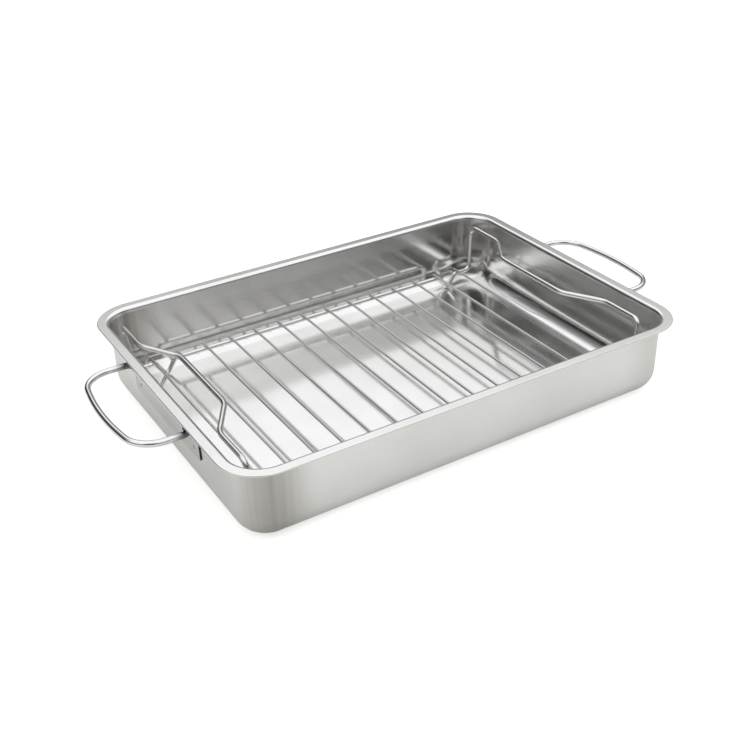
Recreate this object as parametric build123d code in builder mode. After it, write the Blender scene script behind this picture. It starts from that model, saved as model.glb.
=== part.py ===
from build123d import *
import math
import os

# Roasting pan with swinging handles and a lift-out wire rack.
# Millimetres, +Z up, origin at the middle of the pan's underside, long side along X.

# Pan sheet and outline
pan_length = 380.0
pan_width = 275.0
pan_height = 61.0
rim_corner_radius = 32.0
sheet = 0.6
rim_overhang = 8.9
wall_lean = 0.4
wall_corner_radius = 24.0
floor_corner_radius = 23.5
base_radius = 16.8
shoulder_radius = 3.2
hem_width = 2.6
hem_depth = 1.4
hem_round_share = 0.45

# Handle brackets, spot welded to the end walls under the rim
bracket_sheet = 0.8
bracket_width = 115.0
bracket_shoulder = 10.5
bracket_drop = 24.0
bracket_shoulder_drop = 4.2
bracket_corner_radius = 3.0
roll_gap = 1.3
pivot_below_rim = 7.5
pivot_clearance = 0.05
weld_mark_radius = 1.6
weld_mark_depth = 0.3
weld_drop = 16.0
weld_from_edge = 9.0
right_handle_offset = -9.0

# Bail handles
bail_wire = 4.8
bail_from_bracket_edge = 3.0
bail_corner_reach = 37.1
bail_bow = 8.0
bail_outer_bend = 22.0
bail_inner_bend = 6.0
bail_bow_bend = 220.0

# Rack of thick frame wire and thin cross wires, laid out from the pan's rim inwards
frame_wire = 4.0
cross_wire = 2.2
cross_wire_count = 14
cross_wire_overhang = 3.5
cross_wire_chamfer = 0.25
weld_sink = 0.3
rack_clearance = 0.3
rack_set_back = 6.0
rim_to_rail = 30.5
rim_to_leg = 21.0
rail_height = 13.5

# V feet in the rails
foot_from_leg = 16.5
foot_outer_run = 9.0
foot_inner_run = 8.5
foot_bend = 3.2
rail_end_past_foot = 6.0
last_wire_past_foot = 1.2

# End handles of the rack
leg_lean = 4.5
leg_spread = 4.0
handle_below_rim = 7.7
handle_step_outer = 71.0
handle_step_inner = 39.0
handle_step_in = 19.0
leg_bend = 6.5
handle_bend = 20.0

os.makedirs("parts", exist_ok=True)


# Pan shell

def outline_at(height, inset):
    """Length, width and corner radius of the wall's outside at a height, less an inset all round."""
    share = height / pan_height
    lean = wall_lean * (1 - share)
    length = pan_length - 2 * (rim_overhang + lean + inset)
    width = pan_width - 2 * (rim_overhang + lean + inset)
    corner = floor_corner_radius + (wall_corner_radius - floor_corner_radius) * share - inset
    return length, width, corner


def walled_block(bottom, inset, edge_radius):
    """Solid inside the wall from a height up to the rim, with its lower edge rounded."""
    with BuildPart() as block:
        with BuildSketch(Plane.XY.offset(bottom)):
            RectangleRounded(*outline_at(bottom, inset))
        with BuildSketch(Plane.XY.offset(pan_height)):
            RectangleRounded(*outline_at(pan_height, inset))
        loft(ruled=True)
        fillet(block.faces().sort_by(Axis.Z)[0].edges(), edge_radius)
    return block.part


def edges_of_outline(shape, height, inset):
    """Edges of the wall's outline at a height, less an inset, told from the edges of the wider rim."""
    length, width, corner = outline_at(height, inset)
    level = shape.edges().filter_by_position(Axis.Z, height - sheet / 4, height + sheet / 4)
    return level.filter_by(lambda edge: edge.bounding_box().max.X <= length / 2 + sheet / 4
                           and edge.bounding_box().max.Y <= width / 2 + sheet / 4
                           and edge.bounding_box().min.X >= -length / 2 - sheet / 4
                           and edge.bounding_box().min.Y >= -width / 2 - sheet / 4)


outer_block = walled_block(0, 0, base_radius)
cavity_block = walled_block(sheet, sheet, base_radius - sheet)

with BuildPart() as pan_shell:
    add(outer_block)
    with BuildSketch(Plane.XY.offset(pan_height - sheet)):
        RectangleRounded(pan_length, pan_width, rim_corner_radius)
    extrude(amount=sheet)
    fillet(edges_of_outline(pan_shell, pan_height - sheet, 0), shoulder_radius - sheet)
    with BuildSketch(Plane.XY.offset(pan_height - hem_depth)):
        RectangleRounded(pan_length, pan_width, rim_corner_radius)
        RectangleRounded(pan_length - 2 * hem_width, pan_width - 2 * hem_width,
                         rim_corner_radius - hem_width, mode=Mode.SUBTRACT)
    extrude(amount=hem_depth)
    add(cavity_block, mode=Mode.SUBTRACT)
    fillet(edges_of_outline(pan_shell, pan_height, sheet), shoulder_radius)
    rim_edges = pan_shell.edges().filter_by(
        lambda edge: edge.bounding_box().max.X > pan_length / 2 - sheet / 4
        or edge.bounding_box().min.X < -pan_length / 2 + sheet / 4
        or edge.bounding_box().max.Y > pan_width / 2 - sheet / 4
        or edge.bounding_box().min.Y < -pan_width / 2 + sheet / 4)
    fillet(rim_edges, hem_depth * hem_round_share)
pan_shell.part.label = "pan_shell"
export_step(pan_shell.part, "parts/pan_shell.step")


# Handle brackets: a plate on the leaning end wall, its top edge rolled over the handle wire

lean = math.atan(wall_lean / pan_height)
pivot_height = pan_height - pivot_below_rim
bracket_roll_width = bracket_width - 2 * bracket_shoulder
roll_inside = bail_wire / 2 + pivot_clearance
roll_outside = roll_inside + bracket_sheet
roll_foot_height = pivot_height + roll_outside * math.sin(lean)
wall_at_roll = pan_length / 2 - rim_overhang - wall_lean * (1 - roll_foot_height / pan_height)
pivot_from_middle = wall_at_roll + roll_outside * math.cos(lean)

out_of_wall = Vector(math.cos(lean), 0, -math.sin(lean))
roll_origin = Vector(wall_at_roll, 0, roll_foot_height)
wall_face = Plane(origin=roll_origin, x_dir=(0, 1, 0), z_dir=out_of_wall)
bracket_section = Plane(origin=roll_origin, x_dir=out_of_wall, z_dir=(0, -1, 0))

with BuildPart() as end_bracket:
    with BuildSketch(wall_face) as plate_outline:
        with Locations((0, -bracket_shoulder_drop)):
            Rectangle(bracket_width, bracket_drop - bracket_shoulder_drop, align=(Align.CENTER, Align.MAX))
        Rectangle(bracket_roll_width, bracket_drop, align=(Align.CENTER, Align.MAX))
        side_corners = plate_outline.vertices().group_by(Axis.X)
        fillet(side_corners[0] + side_corners[-1], bracket_corner_radius)
    extrude(amount=bracket_sheet)
    with BuildSketch(bracket_section):
        with Locations((roll_outside, 0)):
            Circle(roll_outside)
            Circle(roll_inside, mode=Mode.SUBTRACT)
        with Locations((bracket_sheet, 0)):
            Rectangle(roll_gap, roll_outside, align=(Align.MIN, Align.MAX), mode=Mode.SUBTRACT)
    extrude(amount=bracket_roll_width / 2, both=True)
    weld_side = bracket_width / 2 - weld_from_edge
    with BuildSketch(wall_face.offset(bracket_sheet)):
        with Locations((-weld_side, -weld_drop), (weld_side, -weld_drop)):
            Circle(weld_mark_radius)
    extrude(amount=-weld_mark_depth, mode=Mode.SUBTRACT)

with BuildPart() as handle_bracket_right:
    with Locations((0, right_handle_offset, 0)):
        add(end_bracket.part)
handle_bracket_right.part.label = "handle_bracket_right"
export_step(handle_bracket_right.part, "parts/handle_bracket_right.step")

with BuildPart() as handle_bracket_left:
    mirror(end_bracket.part, about=Plane.YZ)
handle_bracket_left.part.label = "handle_bracket_left"
export_step(handle_bracket_left.part, "parts/handle_bracket_left.step")


# Bail handles: closed rings of round wire, level at rest, turning inside the rolls

def bent_wire(corners, bends, thickness, closed):
    """Round wire along straight runs that are joined by tangent bends, one bend for each corner."""
    with BuildPart() as wire:
        with BuildLine() as path:
            FilletPolyline(*corners, radius=bends, close=closed)
        with BuildSketch(Plane(origin=path.line @ 0, z_dir=path.line % 0)):
            Circle(thickness / 2)
        sweep(path=path.line)
    return wire.part


bail_half_width = bracket_width / 2 - bail_from_bracket_edge
outer_corner = pivot_from_middle + bail_corner_reach
bail_corners = [
    (pivot_from_middle, -bail_half_width, pivot_height),
    (outer_corner, -bail_half_width, pivot_height),
    (outer_corner + bail_bow, 0, pivot_height),
    (outer_corner, bail_half_width, pivot_height),
    (pivot_from_middle, bail_half_width, pivot_height),
]
bail_bends = [bail_inner_bend, bail_outer_bend, bail_bow_bend, bail_outer_bend, bail_inner_bend]
bail_ring = bent_wire(bail_corners, bail_bends, bail_wire, True)

with BuildPart() as bail_handle_right:
    with Locations((0, right_handle_offset, 0)):
        add(bail_ring)
bail_handle_right.part.label = "bail_handle_right"
export_step(bail_handle_right.part, "parts/bail_handle_right.step")

with BuildPart() as bail_handle_left:
    mirror(bail_ring, about=Plane.YZ)
bail_handle_left.part.label = "bail_handle_left"
export_step(bail_handle_left.part, "parts/bail_handle_left.step")


# Rack rails: thick wire along the pan with a V foot near each end

def corner_below(lowest, top, inner, tip, outer, bend):
    """Height of the corner whose bend comes down to the lowest height, between two points of the rail."""
    height = lowest
    for step in range(12):
        inner_slope = math.atan2(top - height, tip - inner)
        outer_slope = math.atan2(top - height, outer - tip)
        half_turn = (inner_slope + outer_slope) / 2
        tilt = (inner_slope - outer_slope) / 2
        height = lowest - bend * (math.cos(tilt) / math.cos(half_turn) - 1)
    return height


rail_spacing = pan_width - 2 * rim_to_rail
leg_top = pan_length / 2 - rim_to_leg
leg_foot = leg_top - leg_lean
foot_outer = leg_foot - foot_from_leg
foot_tip = foot_outer - foot_outer_run
foot_inner = foot_tip - foot_inner_run
rail_end = foot_outer + rail_end_past_foot
foot_axis_height = sheet + rack_clearance + frame_wire / 2
foot_corner_height = corner_below(foot_axis_height, rail_height,
                                  foot_inner, foot_tip, foot_outer, foot_bend)
rail_half_profile = [
    (foot_inner, rail_height),
    (foot_tip, foot_corner_height),
    (foot_outer, rail_height),
    (rail_end, rail_height),
]

for name, side in (("rack_rail_rear", 1), ("rack_rail_front", -1)):
    rail_y = rack_set_back + side * rail_spacing / 2
    rail_corners = [(-x, rail_y, z) for x, z in reversed(rail_half_profile)]
    rail_corners += [(x, rail_y, z) for x, z in rail_half_profile]
    rail_wire = bent_wire(rail_corners, [foot_bend] * (len(rail_corners) - 2), frame_wire, False)
    with BuildPart() as rack_rail:
        add(rail_wire)
    rack_rail.part.label = name
    export_step(rack_rail.part, f"parts/{name}.step")


# Rack end handles: legs rise from the rails' ends, the top steps in between them

leg_half_spacing = rail_spacing / 2
handle_height = pan_height - handle_below_rim
handle_half_corners = [
    (rail_end, leg_half_spacing, rail_height),
    (leg_foot, leg_half_spacing, rail_height),
    (leg_top, leg_half_spacing + leg_spread, handle_height),
    (leg_top, handle_step_outer, handle_height),
    (leg_top - handle_step_in, handle_step_inner, handle_height),
]
handle_corners = [(x, rack_set_back + y, z) for x, y, z in handle_half_corners]
handle_corners += [(x, rack_set_back - y, z) for x, y, z in reversed(handle_half_corners)]
handle_bends = [leg_bend, leg_bend, handle_bend, handle_bend, handle_bend, handle_bend, leg_bend, leg_bend]
handle_wire = bent_wire(handle_corners, handle_bends, frame_wire, False)

with BuildPart() as rack_end_handle_right:
    add(handle_wire)
rack_end_handle_right.part.label = "rack_end_handle_right"
export_step(rack_end_handle_right.part, "parts/rack_end_handle_right.step")

with BuildPart() as rack_end_handle_left:
    mirror(handle_wire, about=Plane.YZ)
rack_end_handle_left.part.label = "rack_end_handle_left"
export_step(rack_end_handle_left.part, "parts/rack_end_handle_left.step")


# Cross wires: thin wires welded on top of the rails, evenly spaced along the rack

cross_wire_height = rail_height + frame_wire / 2 + cross_wire / 2 - weld_sink
cross_wire_length = rail_spacing + 2 * cross_wire_overhang
last_wire = foot_outer + last_wire_past_foot
cross_wire_pitch = 2 * last_wire / (cross_wire_count - 1)

for number in range(cross_wire_count):
    wire_x = number * cross_wire_pitch - last_wire
    wire_end = Plane(origin=(wire_x, rack_set_back, cross_wire_height), x_dir=(1, 0, 0), z_dir=(0, 1, 0))
    with BuildPart() as rack_cross_wire:
        with BuildSketch(wire_end):
            Circle(cross_wire / 2)
        extrude(amount=cross_wire_length / 2, both=True)
        chamfer(rack_cross_wire.faces().filter_by(Axis.Y).edges(), cross_wire_chamfer)
    rack_cross_wire.part.label = f"rack_cross_wire_{number + 1:02d}"
    export_step(rack_cross_wire.part, f"parts/rack_cross_wire_{number + 1:02d}.step")
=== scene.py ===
"""Stainless roasting pan with swinging bail handles and a lift-out wire rack, in a white studio."""
import logging
import math
from dataclasses import dataclass, field
from enum import Enum
from typing import Any, Sequence

import bpy
import numpy as np
from mathutils import Matrix


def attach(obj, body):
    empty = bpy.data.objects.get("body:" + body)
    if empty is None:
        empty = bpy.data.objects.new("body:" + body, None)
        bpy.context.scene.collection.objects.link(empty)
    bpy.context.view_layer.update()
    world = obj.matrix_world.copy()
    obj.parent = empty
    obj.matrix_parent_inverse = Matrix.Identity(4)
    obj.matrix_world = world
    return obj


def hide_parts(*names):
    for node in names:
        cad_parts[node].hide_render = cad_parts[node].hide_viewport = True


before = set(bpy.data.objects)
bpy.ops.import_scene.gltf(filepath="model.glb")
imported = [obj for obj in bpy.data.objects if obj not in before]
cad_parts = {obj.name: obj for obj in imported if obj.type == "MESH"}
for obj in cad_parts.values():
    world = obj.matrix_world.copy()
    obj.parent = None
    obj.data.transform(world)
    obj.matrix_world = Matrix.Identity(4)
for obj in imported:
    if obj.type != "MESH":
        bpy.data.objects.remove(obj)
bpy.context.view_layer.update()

LOG = logging.getLogger("roasting_pan")

Tree, Node, Socket = bpy.types.NodeTree, bpy.types.Node, bpy.types.NodeSocket
# an inset from the rim's edge and a height, as a place or a direction in the sheet's section
Pair = Sequence[float]

MM = 0.001
SHEET_UV = "sheet"
# radius of the edge of a wire's cut end, in millimetres, and the segments round it
CUT_ROUNDING = 0.3
CUT_STEPS = 4
# stations of a section are one where their places and their normals differ by less than these
SAME_PLACE = 1e-6
SAME_NORMAL = 1e-3
# the right handle and its bracket lie this far off the middle, in millimetres
RIGHT_HANDLE_OFFSET = -9.0


# ---- colour and node helpers

def linear(colour: str) -> tuple[float, float, float, float]:
    """Turns an sRGB hex colour into linear values.

    A channel up to 0.04045 is divided by 12.92, and one above it is ((c + 0.055) / 1.055) ** 2.4.

    Args:
        colour: six hex digits after a hash sign.

    Returns:
        Red, green, blue and an alpha of 1.
    """
    channels = [int(colour[i:i + 2], 16) / 255 for i in (1, 3, 5)]
    values = [c / 12.92 if c <= 0.04045 else ((c + 0.055) / 1.055) ** 2.4 for c in channels]
    return values[0], values[1], values[2], 1.0


def add_node(tree: Tree, kind: str, settings: dict[str, Any] | None = None,
             values: dict[Any, Any] | None = None, links: dict[Any, Socket] | None = None) -> Node:
    """Adds one shader node.

    Args:
        tree: the node tree that it joins.
        kind: the node's type name, without the leading ShaderNode.
        settings: attributes of the node.
        values: unlinked inputs, by name or index.
        links: sockets that feed its inputs, by name or index.

    Returns:
        The new node.
    """
    node = tree.nodes.new("ShaderNode" + kind)
    for key, value in (settings or {}).items():
        setattr(node, key, value)
    for key, value in (values or {}).items():
        node.inputs[key].default_value = value
    for key, socket in (links or {}).items():
        tree.links.new(socket, node.inputs[key])
    return node


# ---- finishes

class GrainMap(Enum):
    """What the rolled grain follows: the pan's own UV map, or the place on a flat plate."""
    ROUND_THE_PAN = "round the pan"
    ACROSS_THE_PLATE = "across the plate"


@dataclass(frozen=True)
class PaintedCornerShade:
    """Painted shade in the pan's corners, browner, streaked with upright lines.

    The painted shade is stronger at the two corners of the left end than at the right end. The
    lines follow the UV map that runs round the pan, and the rest Object coordinates.
    """
    from_mm: tuple[float, float] = (128.0, 100.0)
    fade_mm: float = 36.0
    top_mm: float = 56.0
    top_fade_mm: float = 2.0
    # colour of the painted shade in the corners
    tone: str = "#A39D98"
    line_mm: float = 6.0
    line_stretch: float = 25.0
    line_noise: tuple[float, float] = (0.3, 0.7)
    line_least: float = 0.8
    right_end_share: float = 0.35
    end_fade_mm: float = 100.0

    def toned(self, tree: Tree, where: Node, tint: Node) -> Node:
        """Mixes the corners' painted shade into the sheet's colour.

        The share of the shade is the product of five parts: how far along X and along Y the place
        is into the corner, whether it is below the rim, how strong its end's shade is, and the
        lines.

        Args:
            tree: the material's nodes.
            where: the Texture Coordinate node.
            tint: the colour before the corners are toned.

        Returns:
            A mix node with the toned colour.
        """
        spot = add_node(tree, "SeparateXYZ", links={"Vector": where.outputs["Object"]})
        parts = []
        for axis, start in zip("XY", self.from_mm):
            size = add_node(tree, "Math", {"operation": "ABSOLUTE"}, links={0: spot.outputs[axis]})
            parts.append(add_node(tree, "MapRange", {"interpolation_type": "SMOOTHSTEP"},
                                  {"From Min": start * MM, "From Max": (start + self.fade_mm) * MM},
                                  {"Value": size.outputs["Value"]}))
        parts.append(add_node(tree, "MapRange",
                              values={"From Min": self.top_mm * MM,
                                      "From Max": (self.top_mm + self.top_fade_mm) * MM,
                                      "To Min": 1.0, "To Max": 0.0},
                              links={"Value": spot.outputs["Z"]}))
        parts.append(add_node(tree, "MapRange",
                              values={"From Min": -self.end_fade_mm * MM,
                                      "From Max": self.end_fade_mm * MM,
                                      "To Min": 1.0, "To Max": self.right_end_share},
                              links={"Value": spot.outputs["X"]}))
        sheet = add_node(tree, "UVMap", {"uv_map": SHEET_UV})
        line = self.line_mm * MM
        upright = add_node(tree, "Mapping",
                           values={"Scale": (1 / line, 1 / (self.line_stretch * line), 1.0)},
                           links={"Vector": sheet.outputs["UV"]})
        lines = add_node(tree, "TexNoise", values={"Scale": 1.0, "Detail": 2.0},
                         links={"Vector": upright.outputs["Vector"]})
        parts.append(add_node(tree, "MapRange",
                              values={"From Min": self.line_noise[0],
                                      "From Max": self.line_noise[1],
                                      "To Min": self.line_least, "To Max": 1.0},
                              links={"Value": lines.outputs["Fac"]}))
        share = parts[0].outputs["Result"]
        for part in parts[1:]:
            share = add_node(tree, "Math", {"operation": "MULTIPLY"},
                             links={0: share, 1: part.outputs["Result"]}).outputs["Value"]
        return add_node(tree, "Mix", {"data_type": "RGBA"}, {"B": linear(self.tone)},
                        {"Factor": share, "A": tint.outputs["Color"]})


@dataclass(frozen=True)
class PaintedEdgeShade:
    """Painted shade along a bracket's side edges and at the ends of its roll, in the gaps there."""
    middle_mm: float = 0.0
    half_width_mm: float = 57.5
    side_depth_mm: float = 0.7
    roll_half_width_mm: float = 47.0
    roll_depth_mm: float = 0.6
    roll_low_mm: float = 48.4
    # colour of the painted shade at the edges and roll ends
    tone: str = "#2A2A2C"

    def toned(self, tree: Tree, where: Node, tint: Node) -> Node:
        """Paints shade by the distance from the middle, and on the roll's ends by height too.

        Args:
            tree: the material's nodes.
            where: the Texture Coordinate node.
            tint: the colour of the faces.

        Returns:
            A mix node with the toned colour.
        """
        spot = add_node(tree, "SeparateXYZ", links={"Vector": where.outputs["Object"]})
        along = add_node(tree, "Math", {"operation": "SUBTRACT"}, {1: self.middle_mm * MM},
                         {0: spot.outputs["Y"]})
        size = add_node(tree, "Math", {"operation": "ABSOLUTE"}, links={0: along.outputs["Value"]})
        side_from = (self.half_width_mm - self.side_depth_mm) * MM
        roll_from = (self.roll_half_width_mm - self.roll_depth_mm) * MM
        side = add_node(tree, "Math", {"operation": "GREATER_THAN"}, {1: side_from},
                        {0: size.outputs["Value"]})
        end = add_node(tree, "Math", {"operation": "GREATER_THAN"}, {1: roll_from},
                       {0: size.outputs["Value"]})
        high = add_node(tree, "Math", {"operation": "GREATER_THAN"}, {1: self.roll_low_mm * MM},
                        {0: spot.outputs["Z"]})
        roll = add_node(tree, "Math", {"operation": "MULTIPLY"},
                        links={0: end.outputs["Value"], 1: high.outputs["Value"]})
        dark = add_node(tree, "Math", {"operation": "MAXIMUM"},
                        links={0: side.outputs["Value"], 1: roll.outputs["Value"]})
        return add_node(tree, "Mix", {"data_type": "RGBA"}, {"B": linear(self.tone)},
                        {"Factor": dark.outputs["Value"], "A": tint.outputs["Color"]})


@dataclass(frozen=True)
class SheetSteel:
    """Cold-rolled 18/10 stainless sheet, pressed to shape and left with a fine satin face.

    To the eye it is a pale grey metal with wide, soft highlights that streak along the rim. The
    rolled grain is a stretched noise that swings the roughness and lifts the face by microns. The
    real grain is finer than the render can show, so it is drawn half a millimetre wide. A slow
    ripple and small specks mottle the colour, and the pan's inside is smoother, as it was polished.
    The inside starts at a distance along the sheet's section, measured from under the pan's middle.
    """
    name: str
    # painted shade mixed into the colour: in the pan's corners, or at a bracket's edges
    painted_shade: PaintedCornerShade | PaintedEdgeShade
    grain_map: GrainMap
    colour: str = "#F1F1EF"
    mottle_least: float = 0.94
    mottle_range: tuple[float, float] = (0.6, 1.0)
    speck_mm: float = 1.6
    speck_share: float = 0.7
    ripple_mm: float = 38.0
    ripple_height_mm: float = 0.02
    grain_length_mm: float = 14.0
    grain_width_mm: float = 0.5
    grain_height_mm: float = 0.004
    roughness: float = 0.22
    roughness_swing: float = 0.06
    inside_roughness: float = 0.14
    inside_from_mm: float = 215.0
    inside_fade_mm: float = 4.0
    anisotropy: float = 0.35

    def material(self) -> bpy.types.Material:
        """Builds the material.

        Returns:
            A metal whose roughness and bump follow the rolled grain.
        """
        mat = bpy.data.materials.new(self.name)
        mat.use_nodes = True
        tree = mat.node_tree
        shader = tree.nodes["Principled BSDF"]
        shader.inputs["Metallic"].default_value = 1.0
        shader.inputs["Anisotropic"].default_value = self.anisotropy
        where = add_node(tree, "TexCoord")
        place = self.grain_place(tree, where)
        grain = add_node(tree, "TexNoise", values={"Scale": 1.0, "Detail": 3.0},
                         links={"Vector": place.outputs["Vector"]})
        ripple = add_node(tree, "TexNoise",
                          values={"Scale": 1 / (self.ripple_mm * MM), "Detail": 1.0},
                          links={"Vector": where.outputs["Object"]})
        # the painted shade is mixed into the mottled colour here
        toned = self.painted_shade.toned(tree, where, self.mottled(tree, where, ripple))
        tree.links.new(toned.outputs["Result"], shader.inputs["Base Color"])
        tree.links.new(self.roughened(tree, grain), shader.inputs["Roughness"])
        low = add_node(tree, "Bump",
                       values={"Strength": 1.0, "Distance": self.ripple_height_mm * MM},
                       links={"Height": ripple.outputs["Fac"]})
        fine = add_node(tree, "Bump",
                        values={"Strength": 1.0, "Distance": self.grain_height_mm * MM},
                        links={"Height": grain.outputs["Fac"], "Normal": low.outputs["Normal"]})
        tree.links.new(fine.outputs["Normal"], shader.inputs["Normal"])
        return mat

    def grain_place(self, tree: Tree, where: Node) -> Node:
        """Stretches the coordinates along the grain.

        Args:
            tree: the material's nodes.
            where: the Texture Coordinate node.

        Returns:
            A mapping node with the grain's coordinates.
        """
        along, across = 1 / (self.grain_length_mm * MM), 1 / (self.grain_width_mm * MM)
        if self.grain_map is GrainMap.ROUND_THE_PAN:
            sheet = add_node(tree, "UVMap", {"uv_map": SHEET_UV})
            return add_node(tree, "Mapping", values={"Scale": (along, across, 1.0)},
                            links={"Vector": sheet.outputs["UV"]})
        return add_node(tree, "Mapping", values={"Scale": (across, along, across)},
                        links={"Vector": where.outputs["Object"]})

    def mottled(self, tree: Tree, where: Node, ripple: Node) -> Node:
        """Mottles the colour with the ripple and with specks.

        Args:
            tree: the material's nodes.
            where: the Texture Coordinate node.
            ripple: the slow noise of the sheet.

        Returns:
            A colour ramp node with the mottled colour.
        """
        speck = add_node(tree, "TexNoise",
                         values={"Scale": 1 / (self.speck_mm * MM), "Detail": 2.0},
                         links={"Vector": where.outputs["Object"]})
        mottle = add_node(tree, "Math", {"operation": "MULTIPLY_ADD"}, {1: self.speck_share},
                          {0: speck.outputs["Fac"], 2: ripple.outputs["Fac"]})
        tint = add_node(tree, "ValToRGB", links={"Fac": mottle.outputs["Value"]})
        red, green, blue, _ = linear(self.colour)
        for stop, place, level in zip(tint.color_ramp.elements, self.mottle_range,
                                      (self.mottle_least, 1.0)):
            stop.position = place
            stop.color = (red * level, green * level, blue * level, 1.0)
        return tint

    def roughened(self, tree: Tree, grain: Node) -> Socket:
        """Swings the roughness with the grain, and lowers it inside the pan.

        Args:
            tree: the material's nodes.
            grain: the noise of the rolled grain.

        Returns:
            The socket with the roughness.
        """
        swung = add_node(tree, "MapRange",
                         values={"To Min": self.roughness - self.roughness_swing,
                                 "To Max": self.roughness + self.roughness_swing},
                         links={"Value": grain.outputs["Fac"]})
        if self.grain_map is GrainMap.ACROSS_THE_PLATE:
            return swung.outputs["Result"]
        sheet = add_node(tree, "UVMap", {"uv_map": SHEET_UV})
        section = add_node(tree, "SeparateXYZ", links={"Vector": sheet.outputs["UV"]})
        polished = add_node(tree, "MapRange",
                            values={"From Min": (self.inside_from_mm - self.inside_fade_mm) * MM,
                                    "From Max": (self.inside_from_mm + self.inside_fade_mm) * MM,
                                    "To Min": 1.0,
                                    "To Max": self.inside_roughness / self.roughness},
                            links={"Value": section.outputs["Y"]})
        return add_node(tree, "Math", {"operation": "MULTIPLY"},
                        links={0: swung.outputs["Result"],
                               1: polished.outputs["Result"]}).outputs["Value"]


@dataclass(frozen=True)
class PlatedWire:
    """Drawn steel wire with polished chrome plate.

    To the eye it is a cool, bright mirror, a little blurred by drawing lines. The real lines are
    too fine to show, so they are drawn as a noise of some 3 mm. Where a shade span is given,
    painted shade darkens the wire between those two distances from the pan's middle, towards the
    nearer one.
    """
    name: str
    colour: str = "#ECECED"
    roughness: float = 0.13
    roughness_share: float = 0.4
    line_mm: float = 2.8
    line_height_mm: float = 0.002
    # painted shade near the roll: the span it fades over, and its colour
    wire_shade_span_mm: tuple[float, float] | None = None
    wire_shade_colour: str = "#707075"

    def material(self) -> bpy.types.Material:
        """Builds the material.

        Returns:
            A metal with a nearly smooth surface.
        """
        mat = bpy.data.materials.new(self.name)
        mat.use_nodes = True
        tree = mat.node_tree
        shader = tree.nodes["Principled BSDF"]
        shader.inputs["Metallic"].default_value = 1.0
        shader.inputs["Base Color"].default_value = linear(self.colour)
        where = add_node(tree, "TexCoord")
        if self.wire_shade_span_mm:
            self.shade_ends(tree, where, shader)
        lines = add_node(tree, "TexNoise", values={"Scale": 1 / (self.line_mm * MM), "Detail": 4.0},
                         links={"Vector": where.outputs["Object"]})
        rough = add_node(tree, "MapRange",
                         values={"To Min": self.roughness * (1 - self.roughness_share),
                                 "To Max": self.roughness * (1 + self.roughness_share)},
                         links={"Value": lines.outputs["Fac"]})
        tree.links.new(rough.outputs["Result"], shader.inputs["Roughness"])
        bump = add_node(tree, "Bump",
                        values={"Strength": 1.0, "Distance": self.line_height_mm * MM},
                        links={"Height": lines.outputs["Fac"]})
        tree.links.new(bump.outputs["Normal"], shader.inputs["Normal"])
        return mat

    def shade_ends(self, tree: Tree, where: Node, shader: Node) -> None:
        """Paints shade on the wire where it runs into its roll, under the pan's flange.

        Args:
            tree: the material's nodes.
            where: the Texture Coordinate node.
            shader: the node whose colour is set.
        """
        spot = add_node(tree, "SeparateXYZ", links={"Vector": where.outputs["Object"]})
        reach = add_node(tree, "Math", {"operation": "ABSOLUTE"}, links={0: spot.outputs["X"]})
        near, far = self.wire_shade_span_mm
        unshaded = add_node(tree, "MapRange", {"interpolation_type": "SMOOTHSTEP"},
                          {"From Min": near * MM, "From Max": far * MM},
                          {"Value": reach.outputs["Value"]})
        tone = add_node(tree, "Mix", {"data_type": "RGBA"},
                        {"A": linear(self.wire_shade_colour), "B": linear(self.colour)},
                        {"Factor": unshaded.outputs["Result"]})
        tree.links.new(tone.outputs["Result"], shader.inputs["Base Color"])


# ---- surfaces

def surface(name: str, points: np.ndarray, normals: np.ndarray, uv: np.ndarray,
            closed_rows: bool = False) -> bpy.types.Object:
    """Makes a mesh object from a grid of points with its true normals.

    Quad (i, j) joins points (i, j), (i + 1, j), (i + 1, j + 1) and (i, j + 1), and the last column
    joins the first. The winding is turned over as a whole where it disagrees with the normals, so
    faces point outwards.

    Args:
        name: the object's name.
        points: rows by columns by 3, in millimetres.
        normals: the same shape, unit vectors.
        uv: rows by columns by 2, in metres.
        closed_rows: whether the last row joins the first.

    Returns:
        The new object, at the origin.
    """
    rows, columns = points.shape[:2]
    i = np.arange(rows if closed_rows else rows - 1)[:, None]
    j = np.arange(columns)[None, :]
    i2, j2 = (i + 1) % rows, (j + 1) % columns
    quads = np.stack([i * columns + j, i2 * columns + j, i2 * columns + j2, i * columns + j2], -1)
    quads = quads.reshape(-1, 4)
    flat, flat_normals = points.reshape(-1, 3) * MM, normals.reshape(-1, 3)
    corners = flat[quads]
    facing = np.cross(corners[:, 2] - corners[:, 0], corners[:, 3] - corners[:, 1])
    if np.sum(facing * flat_normals[quads].mean(1)) < 0:
        quads = quads[:, ::-1]
    mesh = bpy.data.meshes.new(name)
    mesh.vertices.add(len(flat))
    mesh.vertices.foreach_set("co", flat.ravel())
    mesh.loops.add(quads.size)
    mesh.loops.foreach_set("vertex_index", quads.ravel())
    mesh.polygons.add(len(quads))
    mesh.polygons.foreach_set("loop_start", np.arange(len(quads)) * 4)
    mesh.update(calc_edges=True)
    mesh.polygons.foreach_set("use_smooth", np.ones(len(quads), bool))
    layer = mesh.uv_layers.new(name=SHEET_UV)
    layer.data.foreach_set("uv", uv.reshape(-1, 2)[quads.ravel()].ravel())
    mesh.validate()
    mesh.normals_split_custom_set_from_vertices(flat_normals)
    made = bpy.data.objects.new(name, mesh)
    bpy.context.scene.collection.objects.link(made)
    return made


def unit(vector: np.ndarray) -> np.ndarray:
    """The vector at length 1."""
    return vector / np.linalg.norm(vector)


def run_lengths(path: np.ndarray) -> np.ndarray:
    """Distance along a path at each of its points."""
    return np.concatenate([[0.0], np.cumsum(np.linalg.norm(np.diff(path, axis=0), axis=1))])


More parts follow.
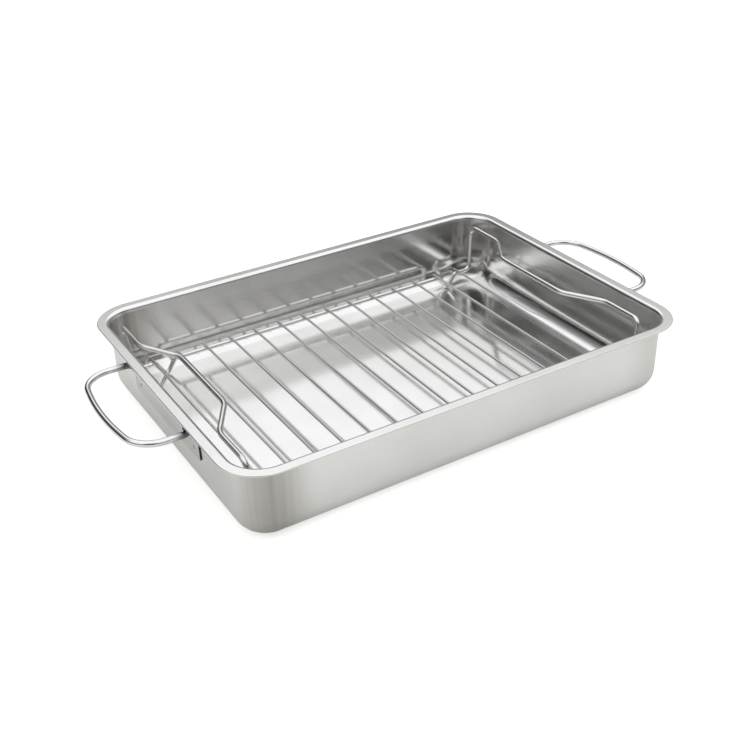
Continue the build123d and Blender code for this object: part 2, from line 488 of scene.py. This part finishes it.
def bent_path(corners: Sequence[Sequence[float]], bends: Sequence[float], closed: bool,
              steps: int) -> tuple[np.ndarray, np.ndarray]:
    """Points and tangents along straight runs that are joined by tangent arcs.

    At a corner with unit directions a in and b out, the arc of radius R starts R tan(turn / 2)
    before the corner. At angle t its point is the start plus R (sin t a + (1 - cos t) c), where c
    is the unit vector across a towards b, and its tangent is cos t a + sin t c.

    Args:
        corners: the polyline's corners in millimetres.
        bends: one radius for each inner corner, or for every corner of a closed path.
        closed: whether the last corner joins the first.
        steps: segments in each arc.

    Returns:
        Points and unit tangents, each count by 3.
    """
    line = np.asarray(corners, float)
    count = len(line)
    points, tangents = ([], []) if closed else ([line[0]], [unit(line[1] - line[0])])
    for index, radius in zip(range(count) if closed else range(1, count - 1), bends):
        corner = line[index]
        into, out = unit(corner - line[index - 1]), unit(line[(index + 1) % count] - corner)
        turn = math.acos(float(np.clip(into @ out, -1, 1)))
        start = corner - into * radius * math.tan(turn / 2)
        aside = (out - into * (into @ out)) / math.sin(turn)
        angle = np.linspace(0, turn, steps + 1)[:, None]
        points += list(start + radius * (np.sin(angle) * into + (1 - np.cos(angle)) * aside))
        tangents += list(np.cos(angle) * into + np.sin(angle) * aside)
    if not closed:
        points.append(line[-1])
        tangents.append(unit(line[-1] - line[-2]))
    return np.array(points), np.array(tangents)


def cut_end(spot: np.ndarray, facing: np.ndarray, out: np.ndarray,
            radius: float) -> tuple[np.ndarray, np.ndarray]:
    """Rings that close the cut end of a wire, from its middle out to its side.

    The edge is a quarter circle of radius e: at angle a from the wire's side, the ring's radius is
    the wire's less e plus e cos a, and it stands e sin a - e beyond the end.

    Args:
        spot: the end's middle, in millimetres.
        facing: the unit vector out of the end.
        out: unit vectors from the wire's middle to its side, one for each point of a ring.
        radius: the wire's radius.

    Returns:
        Points and unit normals, each rings by sides by 3.
    """
    bend = np.linspace(np.pi / 2, 0, CUT_STEPS + 1)[:, None, None]
    beyond = CUT_ROUNDING * np.sin(bend) - CUT_ROUNDING
    reach = (radius - CUT_ROUNDING) + CUT_ROUNDING * np.cos(bend)
    middle, face = (np.broadcast_to(v, (1,) + out.shape) for v in (spot, facing))
    points = np.concatenate([middle, spot + beyond * facing + reach * out])
    normals = np.concatenate([face, np.cos(bend) * out + np.sin(bend) * facing])
    return points, normals


def tube(name: str, path: np.ndarray, tangents: np.ndarray, radius: float,
         across: Sequence[float], closed: bool, sides: int) -> bpy.types.Object:
    """Round wire along a path, closed as a ring or with cut ends.

    Point = path + radius (cos t n + sin t b), where n is the cross product of the tangent and a
    fixed vector, and b that of the tangent and n.

    Args:
        name: the object's name.
        path: points along the wire, in millimetres.
        tangents: unit tangents there.
        radius: the wire's radius.
        across: a direction that the wire never runs along.
        closed: whether the wire is a ring.
        sides: points round the wire.

    Returns:
        The wire's object.
    """
    first = np.cross(tangents, np.asarray(across, float))
    first /= np.linalg.norm(first, axis=1, keepdims=True)
    second = np.cross(tangents, first)
    t = np.linspace(0, 2 * np.pi, sides, endpoint=False)
    out = np.cos(t)[None, :, None] * first[:, None] + np.sin(t)[None, :, None] * second[:, None]
    points, normals, along = path[:, None] + radius * out, out, run_lengths(path)
    if not closed:
        start, start_normals = cut_end(path[0], -tangents[0], out[0], radius)
        stop, stop_normals = cut_end(path[-1], tangents[-1], out[-1], radius)
        points = np.concatenate([start, points[1:-1], stop[::-1]])
        normals = np.concatenate([start_normals, normals[1:-1], stop_normals[::-1]])
        along = np.concatenate([np.zeros(len(start)), along[1:-1], np.full(len(stop), along[-1])])
    uv = np.stack(np.broadcast_arrays(along[:, None] * MM, (t * radius)[None, :] * MM), -1)
    return surface(name, points, normals, uv, closed)


def arc_stations(centre: Pair, radius: float, start: float, stop: float, side: float,
                 steps: int) -> np.ndarray:
    """Stations of a section round an arc.

    At angle a the point is the centre less radius (sin a, cos a), so a runs from straight down
    towards the rim's edge.

    Args:
        centre: inset and height of the arc's centre, in millimetres.
        radius: the arc's radius.
        start: first angle in degrees.
        stop: last angle in degrees.
        side: 1 where the normal points away from the centre, -1 where it points to it.
        steps: segments in the arc.

    Returns:
        Rows of inset, height, and the normal's inset and height.
    """
    a = np.radians(np.linspace(start, stop, steps + 1))
    away = np.stack([-np.sin(a), -np.cos(a)], 1)
    return np.hstack([centre + radius * away, side * away])


def run_stations(begin: Pair, end: Pair, normal: Pair, steps: int) -> np.ndarray:
    """Stations of a section along a straight run.

    Args:
        begin: inset and height of its first point, in millimetres.
        end: inset and height of its last point.
        normal: inset and height of its normal.
        steps: segments in the run.

    Returns:
        Rows of inset, height, and the normal's inset and height.
    """
    t = np.linspace(0, 1, steps + 1)[:, None]
    spots = np.asarray(begin) + np.subtract(end, begin) * t
    return np.hstack([spots, np.broadcast_to(normal, spots.shape)])


# ---- sub-assemblies

@dataclass
class PanShell:
    """The drawn pan in millimetres: floor, base radius, walls, shoulder, flat rim, folded hem."""
    length: float = 380.0
    width: float = 275.0
    height: float = 61.0
    rim_corner: float = 32.0
    sheet: float = 0.6
    overhang: float = 8.9
    lean: float = 0.4
    wall_corner: float = 24.0
    floor_corner: float = 23.5
    base_radius: float = 16.8
    shoulder: float = 3.2
    hem_width: float = 2.6
    hem_depth: float = 1.4
    hem_round_share: float = 0.45
    corner_gap: float = 0.02
    least_corner_share: float = 0.06
    corner_steps: int = 18
    side_steps: int = 23
    # the sheet's finish carries painted shade in the pan's corners
    finish: SheetSteel = field(default_factory=lambda: SheetSteel(
        "stainless_sheet_satin", PaintedCornerShade(), GrainMap.ROUND_THE_PAN))

    def wall_inset(self, z: float | np.ndarray, inset: float = 0.0) -> float | np.ndarray:
        """Inset of the wall's outside at a height, and of a face that lies further in."""
        return self.overhang + inset + self.lean * (1 - z / self.height)

    def profile(self) -> np.ndarray:
        """Section of the sheet from under the pan's middle, up the outside and down the inside.

        Returns:
            One row for each station: inset from the rim's edge, height, and the normal's inset and
            height.
        """
        slope = math.atan(self.lean / self.height)
        upright = 90 - math.degrees(slope)
        face = np.array([-math.cos(slope), -math.sin(slope)])
        half = self.width / 2
        outer_r, inner_r = self.base_radius, self.base_radius - self.sheet
        inner_z = self.sheet + inner_r
        outer = np.array([self.wall_inset(outer_r) + outer_r / math.cos(slope), outer_r])
        inner_d = self.wall_inset(inner_z, self.sheet) + inner_r / math.cos(slope)
        inner = np.array([inner_d, inner_z])
        under_r, bend_z = self.shoulder - self.sheet, self.height - self.shoulder
        bend = np.array([self.wall_inset(bend_z) - under_r / math.cos(slope), bend_z])
        under, hem_z = self.height - self.sheet, self.height - self.hem_depth
        hem_r = self.hem_depth * self.hem_round_share
        stations = np.concatenate([
            run_stations((half, 0), (outer[0], 0), (0, -1), 6),
            arc_stations(outer, outer_r, 0, upright, 1, 18),
            run_stations(outer + outer_r * face, bend - under_r * face, face, 6),
            arc_stations(bend, under_r, -upright, -180, -1, 8),
            run_stations((bend[0], under), (self.hem_width, under), (0, -1), 3),
            run_stations((self.hem_width, under), (self.hem_width, hem_z), (1, 0), 1),
            run_stations((self.hem_width, hem_z), (hem_r, hem_z), (0, -1), 2),
            arc_stations((hem_r, hem_z + hem_r), hem_r, 0, 90, 1, 6),
            arc_stations((hem_r, self.height - hem_r), hem_r, 90, 180, 1, 6),
            run_stations((hem_r, self.height), (bend[0], self.height), (0, 1), 4),
            arc_stations(bend, self.shoulder, -180, -upright, 1, 10),
            run_stations(bend - self.shoulder * face, inner + inner_r * face, -face, 6),
            arc_stations(inner, inner_r, upright, 0, -1, 18),
            run_stations((inner[0], self.sheet), (half, self.sheet), (0, 1), 12),
        ])
        # runs that meet in a tangent share one station, and sharp corners keep two, a hair apart
        step, turn = np.diff(stations[:, :2], axis=0), np.diff(stations[:, 2:], axis=0)
        same = np.hypot(*step.T) < SAME_PLACE
        smooth = same & (np.hypot(*turn.T) < SAME_NORMAL)
        sharp = np.flatnonzero(same & ~smooth)
        back = stations[sharp - 1, :2] - stations[sharp, :2]
        back /= np.linalg.norm(back, axis=1, keepdims=True)
        stations[sharp, :2] += self.corner_gap * back
        return stations[np.concatenate([[True], ~smooth])]

    def corner_radius(self, d: np.ndarray, z: np.ndarray) -> np.ndarray:
        """Corner radius at each station.

        It runs from the rim's to the wall's with the inset, and narrows further inside the wall by
        as much as the outline does. On the floor it keeps a share of what is left of the width.

        Args:
            d: insets from the rim's edge.
            z: heights.

        Returns:
            The radii.
        """
        wall_r = self.floor_corner + (self.wall_corner - self.floor_corner) * z / self.height
        rim = self.rim_corner - d * (self.rim_corner - self.wall_corner) / self.overhang
        radius = np.where(d < self.overhang, rim, wall_r - (d - self.wall_inset(z)))
        room = self.width / 2 - d
        return np.clip(radius, self.least_corner_share * np.maximum(room, 0), None)

    def build(self) -> bpy.types.Object:
        """Carries the section round a rounded rectangle, corner and side by turns.

        At a corner the point is the corner's centre plus its radius times (cos a, sin a), and along
        a side it goes evenly from one corner's end to the next one's start.

        Returns:
            The pan's object.
        """
        d, z, nd, nz = self.profile().T
        r = self.corner_radius(d, z)
        reach_x, reach_y = self.length / 2 - d - r, self.width / 2 - d - r
        centres = [np.stack([sx * reach_x, sy * reach_y], 1)
                   for sx, sy in ((1, 1), (-1, 1), (-1, -1), (1, -1))]
        quarter = np.radians(np.linspace(0, 90, self.corner_steps + 1))
        share = np.linspace(0, 1, self.side_steps + 1)[1:-1]
        rows, normals = [], []
        for turn, centre in enumerate(centres):
            a = quarter + turn * np.pi / 2
            out = np.stack([np.cos(a), np.sin(a)], 1)
            rows.append(centre[:, None] + r[:, None, None] * out)
            normals.append(np.broadcast_to(out, rows[-1].shape))
            begin, end = (c + r[:, None] * out[-1] for c in (centre, centres[(turn + 1) % 4]))
            rows.append(begin[:, None] + (end - begin)[:, None] * share[None, :, None])
            normals.append(np.broadcast_to(out[-1], rows[-1].shape))
        ring, away = np.concatenate(rows, 1), -nd[:, None, None] * np.concatenate(normals, 1)
        shape = ring.shape[:2] + (1,)
        points = np.concatenate([ring, np.broadcast_to(z[:, None, None], shape)], 2)
        direction = np.concatenate([away, np.broadcast_to(nz[:, None, None], shape)], 2)
        direction /= np.linalg.norm(direction, axis=2, keepdims=True)
        down, along = run_lengths(np.stack([d, z], 1)), run_lengths(points[np.argmin(d)])
        uv = np.stack(np.broadcast_arrays(along[None] * MM, down[:, None] * MM), -1)
        return surface("pan_shell_sheet", points, direction, uv)

    def dress(self) -> None:
        """Builds the pan and puts it in the place of its plain solid."""
        piece = self.build()
        piece.data.materials.append(self.finish.material())
        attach(piece, "pan")
        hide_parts("pan_shell")
        LOG.info("pan_shell: %d faces", len(piece.data.polygons))


@dataclass
class Bracket:
    """A handle bracket of sheet steel, which keeps its CAD solid. Its middle is in millimetres."""
    side: str
    middle: float = 0.0
    colour: str = "#DCDCDA"

    def dress(self) -> None:
        """Gives the solid its finish."""
        # the bracket's finish carries painted shade at its side edges and roll ends
        finish = SheetSteel(f"stainless_bracket_satin_{self.side}", PaintedEdgeShade(self.middle),
                            GrainMap.ACROSS_THE_PLATE, self.colour)
        node = f"handle_bracket_{self.side}"
        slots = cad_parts[node].data.materials
        slots.clear()
        slots.append(finish.material())
        LOG.info("%s: its CAD solid", node)


@dataclass
class Bail:
    """A closed ring of round wire that turns in the rolled bracket, in millimetres.

    The side is 1 at the right end and -1 at the left. The pivot lies outside the end wall by the
    bracket's plate, the clearance and the wire's radius.
    """
    name: str
    body: str
    side: float
    middle: float = 0.0
    pivot_x: float = 184.3009
    pivot_z: float = 53.5
    half_width: float = 54.5
    corner_reach: float = 37.1
    bow: float = 8.0
    radius: float = 2.4
    bends: tuple[float, ...] = (6.0, 22.0, 220.0, 22.0, 6.0)
    bend_steps: int = 16
    sides: int = 40

    def dress(self, material: bpy.types.Material) -> None:
        """Builds the ring and puts it in the place of its plain solid.

        Args:
            material: the wire's finish.
        """
        outer = self.pivot_x + self.corner_reach
        plan = [(self.pivot_x, -self.half_width), (outer, -self.half_width),
                (outer + self.bow, 0.0), (outer, self.half_width), (self.pivot_x, self.half_width)]
        corners = [(self.side * x, self.middle + y, self.pivot_z) for x, y in plan]
        path, tangents = bent_path(corners, self.bends, True, self.bend_steps)
        piece = tube(self.name + "_wire", path, tangents, self.radius, (0, 0, 1), True, self.sides)
        piece.data.materials.append(material)
        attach(piece, self.body)
        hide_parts(self.name)
        LOG.info("%s: %d faces", self.name, len(piece.data.polygons))


@dataclass
class Rack:
    """The lift-out rack in millimetres: two rails with V feet, two end handles and cross wires."""
    set_back: float = 6.0
    wire_radius: float = 2.0
    wire_sides: int = 32
    cross_radius: float = 1.1
    cross_sides: int = 24
    cross_stations: int = 12
    cross_count: int = 14
    cross_span: float = 298.4
    cross_length: float = 221.0
    cross_height: float = 16.3
    half_spacing: float = 107.0
    rail_height: float = 13.5
    rail_end: float = 154.0
    foot_inner: float = 130.5
    foot_tip: float = 139.0
    foot_outer: float = 148.0
    foot_low: float = 2.9
    foot_bend: float = 3.2
    foot_bend_steps: int = 10
    leg_foot: float = 164.5
    leg_top: float = 169.0
    leg_spread: float = 4.0
    handle_height: float = 53.3
    step_outer: float = 71.0
    step_inner: float = 39.0
    step_in: float = 19.0
    leg_bend: float = 6.5
    handle_bend: float = 20.0
    handle_bend_steps: int = 12

    def foot_corner(self) -> float:
        """Height of the V's corner whose bend comes down to the foot's lowest height.

        The bend's lowest point lies R (cos((a - b) / 2) / cos((a + b) / 2) - 1) above the corner,
        where a and b are the slopes of the V's sides. They depend on the corner, so the height is
        worked out a dozen times over, and settles long before that.

        Returns:
            The corner's height.
        """
        height = self.foot_low
        for _ in range(12):
            inner = math.atan2(self.rail_height - height, self.foot_tip - self.foot_inner)
            outer = math.atan2(self.rail_height - height, self.foot_outer - self.foot_tip)
            lift = math.cos((inner - outer) / 2) / math.cos((inner + outer) / 2) - 1
            height = self.foot_low - self.foot_bend * lift
        return height

    def place(self, piece: bpy.types.Object, node: str, material: bpy.types.Material) -> None:
        """Gives a rack piece its material and puts it in the place of its plain solid.

        Args:
            piece: the new piece.
            node: the CAD node that it stands for.
            material: the wires' finish.
        """
        piece.data.materials.append(material)
        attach(piece, "rack")
        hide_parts(node)
        LOG.info("%s: %d faces", node, len(piece.data.polygons))

    def dress_rails(self, material: bpy.types.Material) -> None:
        """Builds the two rails with their V feet.

        Args:
            material: the wires' finish.
        """
        half = [(self.foot_inner, self.rail_height), (self.foot_tip, self.foot_corner()),
                (self.foot_outer, self.rail_height), (self.rail_end, self.rail_height)]
        for node, side in (("rack_rail_rear", 1), ("rack_rail_front", -1)):
            y = self.set_back + side * self.half_spacing
            corners = [(-x, y, z) for x, z in reversed(half)] + [(x, y, z) for x, z in half]
            path, tangents = bent_path(corners, [self.foot_bend] * 6, False, self.foot_bend_steps)
            wire = tube(node + "_wire", path, tangents, self.wire_radius, (0, 1, 0), False,
                        self.wire_sides)
            self.place(wire, node, material)

    def dress_end_handles(self, material: bpy.types.Material) -> None:
        """Builds the two end handles: a leg at each side and a top that steps inwards.

        Args:
            material: the wires' finish.
        """
        half = [(self.rail_end, self.half_spacing, self.rail_height),
                (self.leg_foot, self.half_spacing, self.rail_height),
                (self.leg_top, self.half_spacing + self.leg_spread, self.handle_height),
                (self.leg_top, self.step_outer, self.handle_height),
                (self.leg_top - self.step_in, self.step_inner, self.handle_height)]
        plan = half + [(x, -y, z) for x, y, z in reversed(half)]
        bends = [self.leg_bend] * 2 + [self.handle_bend] * 4 + [self.leg_bend] * 2
        for node, side in (("rack_end_handle_right", 1), ("rack_end_handle_left", -1)):
            corners = [(side * x, self.set_back + y, z) for x, y, z in plan]
            path, tangents = bent_path(corners, bends, False, self.handle_bend_steps)
            wire = tube(node + "_wire", path, tangents, self.wire_radius, (side, 1, -1), False,
                        self.wire_sides)
            self.place(wire, node, material)

    def dress_cross_wires(self, material: bpy.types.Material) -> None:
        """Builds the cross wires, evenly spaced over the span.

        Args:
            material: the wires' finish.
        """
        y = np.linspace(-self.cross_length / 2, self.cross_length / 2, self.cross_stations)
        for number, x in enumerate(np.linspace(-0.5, 0.5, self.cross_count) * self.cross_span, 1):
            path = np.stack([np.full_like(y, x), self.set_back + y,
                             np.full_like(y, self.cross_height)], 1)
            tangents = np.broadcast_to((0.0, 1.0, 0.0), path.shape)
            node = f"rack_cross_wire_{number:02d}"
            wire = tube(node + "_wire", path, tangents, self.cross_radius, (0, 0, 1), False,
                        self.cross_sides)
            self.place(wire, node, material)

    def dress(self, material: bpy.types.Material) -> None:
        """Builds every wire of the rack.

        Args:
            material: the wires' finish.
        """
        self.dress_rails(material)
        self.dress_end_handles(material)
        self.dress_cross_wires(material)


# ---- studio

@dataclass(frozen=True)
class DarkPlace:
    """A part of the room that stays dim and shows dark in the steel.

    Its fields are the direction towards it, the cosines of the angles to that direction at which it
    begins and is darkest, and its level there, as a share of the room's.
    """
    toward: tuple[float, float, float]
    edge: float
    core: float
    level: float


@dataclass
class Studio:
    """White table, grey room with a soft ceiling, and the camera.

    Heights in the room are the Z of a unit direction. The camera's place, angles and focal length
    come from the pan's outlines in the photograph.
    """
    focal_px: float = 1101.6
    frame_px: float = 737.0
    offset_px: tuple[float, float] = (20.0, 20.0)
    sensor_mm: float = 36.0
    clip_m: tuple[float, float] = (0.01, 50.0)
    yaw_deg: float = 31.49
    pitch_deg: float = 31.56
    roll_deg: float = -1.42
    place_mm: tuple[float, float, float] = (-391.1, -644.4, 459.2)
    table_half_m: float = 4.0
    table_colour: str = "#F3F4EF"
    table_seen: float = 0.6
    table_mirrored: float = 0.06
    wall_top: tuple[float, float] = (0.38, 0.53)
    wall_level: float = 0.22
    ceiling_level: float = 1.14
    tone_heights: tuple[float, float] = (0.3, 0.55)
    tones: tuple[str, str] = ("#F6F2EB", "#FBFBFE")
    dark_places: tuple[DarkPlace, ...] = (
        DarkPlace((-0.55, 0.80, 0.24), 0.70, 0.95, 0.14),
        DarkPlace((0.62, -0.72, 0.32), 0.92, 1.0, 0.45),
        DarkPlace((-0.52, -0.77, 0.37), 0.87, 0.98, 0.12),
    )

    def camera(self) -> None:
        """Puts the camera at the photograph's place."""
        data = bpy.data.cameras.new("studio_camera")
        data.sensor_width = self.sensor_mm
        data.lens = self.focal_px / self.frame_px * self.sensor_mm
        data.shift_x = -self.offset_px[0] / self.frame_px
        data.shift_y = self.offset_px[1] / self.frame_px
        data.clip_start, data.clip_end = self.clip_m
        yaw, pitch, roll = map(math.radians, (self.yaw_deg, self.pitch_deg, self.roll_deg))
        ahead = np.array([math.cos(pitch) * math.sin(yaw), math.cos(pitch) * math.cos(yaw),
                          -math.sin(pitch)])
        level = np.array([math.cos(yaw), -math.sin(yaw), 0.0])
        steep = np.cross(level, ahead)
        right = math.cos(roll) * level + math.sin(roll) * steep
        up = -math.sin(roll) * level + math.cos(roll) * steep
        turned = Matrix((right, up, -ahead)).transposed().to_4x4()
        turned.translation = [v * MM for v in self.place_mm]
        camera = bpy.data.objects.new("studio_camera", data)
        camera.matrix_world = turned
        bpy.context.scene.collection.objects.link(camera)
        bpy.context.scene.camera = camera

    def paper(self) -> bpy.types.Material:
        """Matt white sweep of paper, which shows soft shadows.

        It glows for the camera, so that it reads as white, and a little in the steel's mirror. The
        glow lights nothing.

        Returns:
            The table's material.
        """
        mat = bpy.data.materials.new("white_paper_sweep")
        mat.use_nodes = True
        tree = mat.node_tree
        tree.nodes.clear()
        ray = add_node(tree, "LightPath")
        seen, mirrored = (add_node(tree, "MapRange", values={"To Min": 0.0, "To Max": level},
                                   links={"Value": ray.outputs[kind]})
                          for kind, level in (("Is Camera Ray", self.table_seen),
                                              ("Is Glossy Ray", self.table_mirrored)))
        glow = add_node(tree, "Math", {"operation": "MAXIMUM"},
                        links={0: seen.outputs["Result"], 1: mirrored.outputs["Result"]})
        matt = add_node(tree, "BsdfDiffuse", values={"Color": linear(self.table_colour)})
        light = add_node(tree, "Emission", values={"Color": linear("#FFFFFF")},
                         links={"Strength": glow.outputs["Value"]})
        both = add_node(tree, "AddShader",
                        links={0: matt.outputs["BSDF"], 1: light.outputs["Emission"]})
        add_node(tree, "OutputMaterial", links={"Surface": both.outputs["Shader"]})
        return mat

    def table(self) -> None:
        """Lays the white table that takes the pan's shadow."""
        mesh = bpy.data.meshes.new("white_table")
        size = self.table_half_m
        corners = [(-size, -size, 0), (size, -size, 0), (size, size, 0), (-size, size, 0)]
        mesh.from_pydata(corners, [], [(0, 1, 2, 3)])
        mesh.materials.append(self.paper())
        floor = bpy.data.objects.new("white_table", mesh)
        bpy.context.scene.collection.objects.link(floor)

    def world(self) -> None:
        """Lights the scene from a soft ceiling over grey walls, and shows the camera plain white.

        The level of a direction is that of its height, times a factor for each dark place.
        """
        world = bpy.data.worlds.new("soft_studio")
        world.use_nodes = True
        tree = world.node_tree
        tree.nodes.clear()
        where = add_node(tree, "TexCoord")
        aim = add_node(tree, "VectorMath", {"operation": "NORMALIZE"},
                       links={0: where.outputs["Generated"]})
        height = add_node(tree, "SeparateXYZ", links={"Vector": aim.outputs["Vector"]})
        level = add_node(tree, "MapRange", {"interpolation_type": "SMOOTHSTEP"},
                         {"From Min": self.wall_top[0], "From Max": self.wall_top[1],
                          "To Min": self.wall_level, "To Max": self.ceiling_level},
                         {"Value": height.outputs["Z"]}).outputs["Result"]
        for place in self.dark_places:
            cosine = add_node(tree, "VectorMath", {"operation": "DOT_PRODUCT"}, {1: place.toward},
                              {0: aim.outputs["Vector"]})
            dim = add_node(tree, "MapRange", {"interpolation_type": "SMOOTHSTEP"},
                           {"From Min": place.edge, "From Max": place.core,
                            "To Min": 1.0, "To Max": place.level},
                           {"Value": cosine.outputs["Value"]})
            level = add_node(tree, "Math", {"operation": "MULTIPLY"},
                             links={0: level, 1: dim.outputs["Result"]}).outputs["Value"]
        tone = add_node(tree, "ValToRGB", links={"Fac": height.outputs["Z"]})
        for stop, place, colour in zip(tone.color_ramp.elements, self.tone_heights, self.tones):
            stop.position, stop.color = place, linear(colour)
        room = add_node(tree, "Background", links={"Color": tone.outputs["Color"],
                                                   "Strength": level})
        white = add_node(tree, "Background",
                         values={"Color": linear("#FFFFFF"), "Strength": 1.0})
        ray = add_node(tree, "LightPath")
        both = add_node(tree, "MixShader",
                        links={"Fac": ray.outputs["Is Camera Ray"],
                               1: room.outputs["Background"], 2: white.outputs["Background"]})
        add_node(tree, "OutputWorld", links={"Surface": both.outputs["Shader"]})
        bpy.context.scene.world = world

    def build(self) -> None:
        """Sets up the camera, the table and the light."""
        self.camera()
        self.table()
        self.world()
        bpy.context.scene.view_settings.view_transform = "Standard"


def main() -> None:
    """Builds the pan, its handles and its rack in the studio."""
    logging.basicConfig(level=logging.INFO, format="%(name)s %(message)s")
    Studio().build()
    PanShell().dress()
    Bracket("left").dress()
    Bracket("right", RIGHT_HANDLE_OFFSET).dress()
    # the handle wire is painted darker near its pivots, as shade
    handle_wire = PlatedWire("chromed_handle_wire", wire_shade_span_mm=(189.0, 200.0)).material()
    Bail("bail_handle_left", "bail_left", -1.0).dress(handle_wire)
    Bail("bail_handle_right", "bail_right", 1.0, RIGHT_HANDLE_OFFSET).dress(handle_wire)
    Rack().dress(PlatedWire("chromed_rack_wire", colour="#E7E7E5", roughness=0.18).material())


if __name__ == "__main__":
    main()
